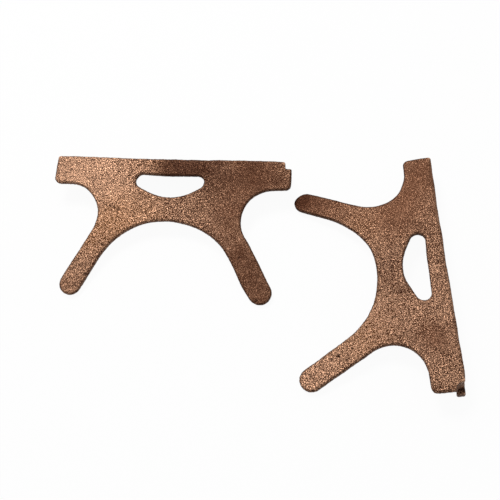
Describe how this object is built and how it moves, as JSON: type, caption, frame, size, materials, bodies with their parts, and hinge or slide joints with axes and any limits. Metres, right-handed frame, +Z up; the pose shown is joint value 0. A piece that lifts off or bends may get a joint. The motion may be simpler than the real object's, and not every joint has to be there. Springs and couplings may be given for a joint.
{
  "type": "vice jaw cap pair",
  "caption": "Soft copper caps that hook over the jaws of a bench vice, each a plate with a window, a gripping flange, short arms and bendable legs.",
  "frame": {"origin": "on the table, under the middle of the pair's bounding box", "axes": "+X along the left cap's straight edge towards its relief, +Y from that cap's legs towards its flange, +Z up from the table that both caps lie on"},
  "size_m": [0.2432, 0.1438, 0.0182],
  "materials": {
    "cast_copper": "rough sand-cast copper"
  },
  "bodies": {
    "root": {"left_jaw_cap": "cast_copper", "right_jaw_cap": "cast_copper"}
  },
  "joints": []
}
